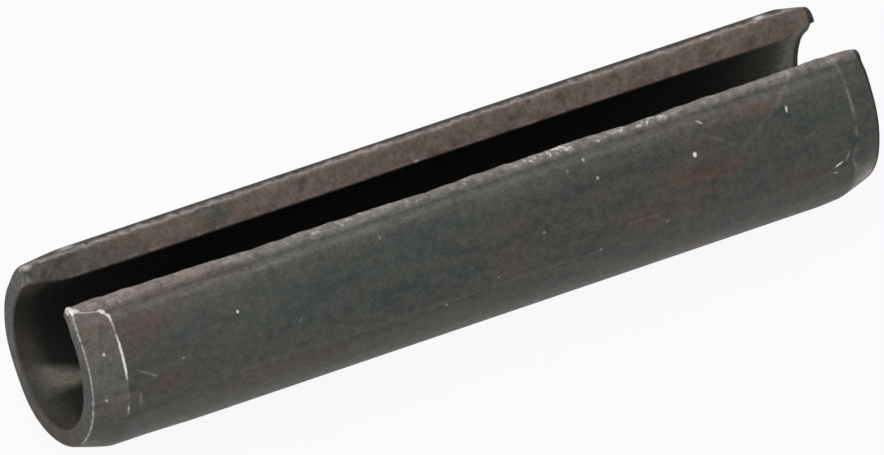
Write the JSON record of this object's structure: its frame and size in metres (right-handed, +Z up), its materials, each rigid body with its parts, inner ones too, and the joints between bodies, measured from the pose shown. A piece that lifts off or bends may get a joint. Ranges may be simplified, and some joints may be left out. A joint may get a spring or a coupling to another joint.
{
  "type": "slotted spring pin",
  "caption": "Heavy duty spring-type straight pin: spring-steel strip rolled into an open tube, with a full-length slot and a swaged lead-in at each end.",
  "frame": {"origin": "on the pin's axis at mid-length", "axes": "+X along the axis; +Z up, the way the slot opens; the pin lies on its closed side"},
  "size_m": [0.03, 0.0066, 0.0061],
  "materials": {
    "spring_steel": "black oxide, oiled, satin, with bright worn edges"
  },
  "bodies": {
    "root": {"spring_pin": "spring_steel"}
  },
  "joints": []
}
